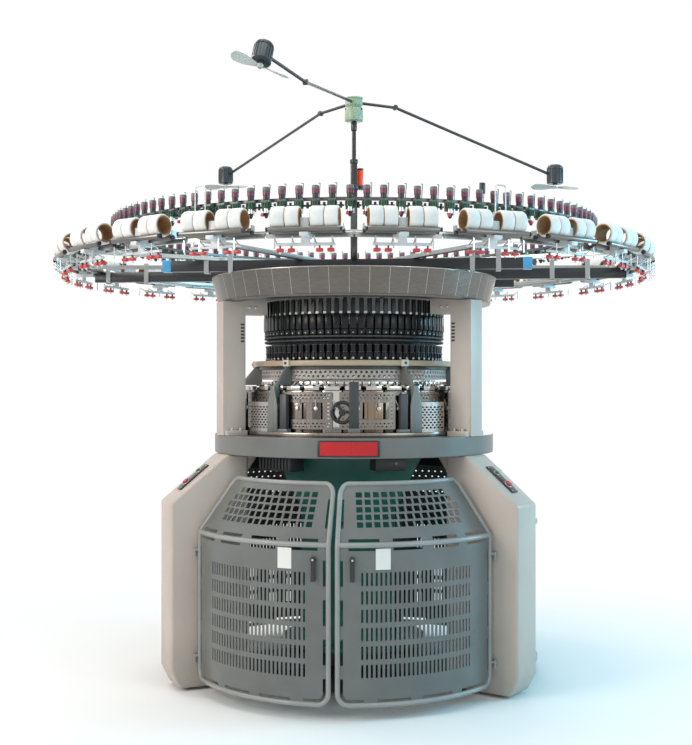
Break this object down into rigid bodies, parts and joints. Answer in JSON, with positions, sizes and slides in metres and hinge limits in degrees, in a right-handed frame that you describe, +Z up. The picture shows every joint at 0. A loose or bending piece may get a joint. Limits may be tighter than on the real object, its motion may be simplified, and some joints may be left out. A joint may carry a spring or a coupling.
{
  "type": "circular knitting machine",
  "caption": "Large-diameter circular knitting machine with perforated front gates, a ring creel of elastane packages, a feeder ring and a turning three-arm fan.",
  "frame": {"origin": "on the floor, on the axis of the needle cylinder", "axes": "+Z up along the cylinder axis, -Y towards the front where the two gates meet, +X to the right seen from the front"},
  "size_m": [3.163, 3.163, 3.09],
  "materials": {
    "cream_paint": "semi-gloss cream machine enamel",
    "grey_paint": "satin grey enamel",
    "gate_sheet": "satin grey powder coat on perforated sheet",
    "stainless": "brushed and polished stainless steel",
    "cast_iron": "machined and painted casting",
    "support_paint": "beige enamel",
    "aluminium": "natural extruded aluminium",
    "feeder_black": "black moulded plastic",
    "beam_black": "black enamel",
    "end_block_blue": "blue moulded plastic",
    "block_white": "pale grey moulded plastic",
    "roller_rubber": "dark rubber-covered roller",
    "yarn_white": "white wound elastane yarn",
    "sensor_red": "red moulded plastic",
    "storage_green": "green and grey moulded plastic",
    "take_down_teal": "teal enamel",
    "batch_steel": "plain aluminium tube",
    "panel_dark": "dark control plate",
    "motor_grey": "dark grey motor enamel",
    "hub_green": "pale green hammered enamel",
    "blade_pale": "pale moulded plastic"
  },
  "bodies": {
    "root": {"base_cross": "cream_paint", "levelling_feet": "cast_iron", "bed_ring": "grey_paint", "leg_left": "cream_paint", "leg_right": "cream_paint", "leg_rear": "cream_paint", "columns": "cream_paint", "control_panel_left": "panel_dark", "control_panel_right": "panel_dark", "top_ring": "cast_iron", "crown_cover": "stainless", "cam_plate": "cast_iron", "cam_boxes": "stainless", "ring_fins": "grey_paint", "guide_ring": "stainless", "support_ring": "support_paint", "positive_feeders": "feeder_black", "feeder_ring": "aluminium", "gate_hinges": "grey_paint", "rear_guard_left": "gate_sheet", "rear_guard_right": "gate_sheet", "drive_motor": "motor_grey", "creel_beams": "beam_black", "beam_end_blocks": "end_block_blue", "creel_wheel": "aluminium", "unit_blocks": "block_white", "unit_rollers": "roller_rubber", "yarn_packages": "yarn_white", "yarn_sensors": "sensor_red", "storage_rail": "aluminium", "storage_feeders": "storage_green", "mast": "beam_black", "warning_lamp": "sensor_red", "mesh_guards": "stainless", "front_plate": "sensor_red"},
    "gate_left": {"gate_frame_left": "grey_paint", "gate_panel_left": "gate_sheet", "gate_hood_left": "gate_sheet", "gate_handle_left": "feeder_black"},
    "gate_right": {"gate_frame_right": "grey_paint", "gate_panel_right": "gate_sheet", "gate_hood_right": "gate_sheet", "gate_handle_right": "feeder_black"},
    "cylinder": {"needle_cylinder": "stainless", "take_down_frame": "take_down_teal"},
    "nip_front": {"nip_roller_front": "stainless"},
    "nip_back": {"nip_roller_back": "stainless"},
    "batch": {"batch_roller": "batch_steel"},
    "drive": {"drive_shaft": "stainless"},
    "knob": {"adjusting_knob": "feeder_black"},
    "fan_boom": {"fan_hub": "hub_green", "fan_arms": "beam_black", "fan_motors": "motor_grey"},
    "blade_near": {"fan_blade_near": "blade_pale"},
    "blade_right": {"fan_blade_right": "blade_pale"},
    "blade_far": {"fan_blade_far": "blade_pale"},
    "start_button_left": {"start_button_left": "panel_dark"},
    "stop_button_left": {"stop_button_left": "sensor_red"},
    "start_button_right": {"start_button_right": "panel_dark"},
    "stop_button_right": {"stop_button_right": "sensor_red"}
  },
  "joints": [
    {"name": "gate_left_swing", "type": "hinge", "parent": "root", "child": "gate_left", "pos_m": [-0.74626, -0.56141, 0.5], "axis": [0, 0, -1], "range_deg": [0, 100]},
    {"name": "gate_right_swing", "type": "hinge", "parent": "root", "child": "gate_right", "pos_m": [0.74626, -0.56141, 0.5], "axis": [0, 0, 1], "range_deg": [0, 100]},
    {"name": "cylinder_turn", "type": "hinge", "parent": "root", "child": "cylinder", "pos_m": [0, 0, 1.2], "axis": [0, 0, 1], "continuous": true},
    {"name": "nip_front_spin", "type": "hinge", "parent": "cylinder", "child": "nip_front", "pos_m": [-0.0323, 0, 0.82], "axis": [0, 1, 0], "continuous": true},
    {"name": "nip_back_spin", "type": "hinge", "parent": "cylinder", "child": "nip_back", "pos_m": [0.0323, 0, 0.82], "axis": [0, 1, 0], "continuous": true},
    {"name": "batch_spin", "type": "hinge", "parent": "cylinder", "child": "batch", "pos_m": [0, 0, 0.42], "axis": [0, 1, 0], "continuous": true},
    {"name": "drive_spin", "type": "hinge", "parent": "root", "child": "drive", "pos_m": [0, 0.5448, 1], "axis": [0, 0, 1], "continuous": true},
    {"name": "knob_turn", "type": "hinge", "parent": "root", "child": "knob", "pos_m": [0, -0.596, 1.4], "axis": [0, -1, 0], "range_deg": [-150, 150]},
    {"name": "fan_boom_turn", "type": "hinge", "parent": "root", "child": "fan_boom", "pos_m": [0, 0, 3], "axis": [0, 0, 1], "continuous": true},
    {"name": "blade_near_spin", "type": "hinge", "parent": "fan_boom", "child": "blade_near", "pos_m": [-0.29795, -1.1521, 3.016], "axis": [-0.1018, -0.3938, -0.9135], "continuous": true},
    {"name": "blade_right_spin", "type": "hinge", "parent": "fan_boom", "child": "blade_right", "pos_m": [1.10239, 0.30572, 2.716], "axis": [0, 0, -1], "continuous": true},
    {"name": "blade_far_spin", "type": "hinge", "parent": "fan_boom", "child": "blade_far", "pos_m": [-0.89156, 0.87614, 2.85], "axis": [0, 0, -1], "continuous": true},
    {"name": "start_button_left_press", "type": "slide", "parent": "root", "child": "start_button_left", "axis": [0.5487, 0.3168, -0.7737], "range_m": [0, 0.004], "stiffness_N_per_m": 300, "springref_m": -0.002},
    {"name": "stop_button_left_press", "type": "slide", "parent": "root", "child": "stop_button_left", "axis": [0.5487, 0.3168, -0.7737], "range_m": [0, 0.004], "stiffness_N_per_m": 300, "springref_m": -0.002},
    {"name": "start_button_right_press", "type": "slide", "parent": "root", "child": "start_button_right", "axis": [-0.5487, 0.3168, -0.7737], "range_m": [0, 0.004], "stiffness_N_per_m": 300, "springref_m": -0.002},
    {"name": "stop_button_right_press", "type": "slide", "parent": "root", "child": "stop_button_right", "axis": [-0.5487, 0.3168, -0.7737], "range_m": [0, 0.004], "stiffness_N_per_m": 300, "springref_m": -0.002}
  ],
  "couplings": [
    {"joint": "drive_spin", "follows": "cylinder_turn", "ratio": -11.236},
    {"joint": "nip_front_spin", "follows": "cylinder_turn", "ratio": 2},
    {"joint": "nip_back_spin", "follows": "cylinder_turn", "ratio": -2},
    {"joint": "batch_spin", "follows": "cylinder_turn", "ratio": 0.67368}
  ]
}
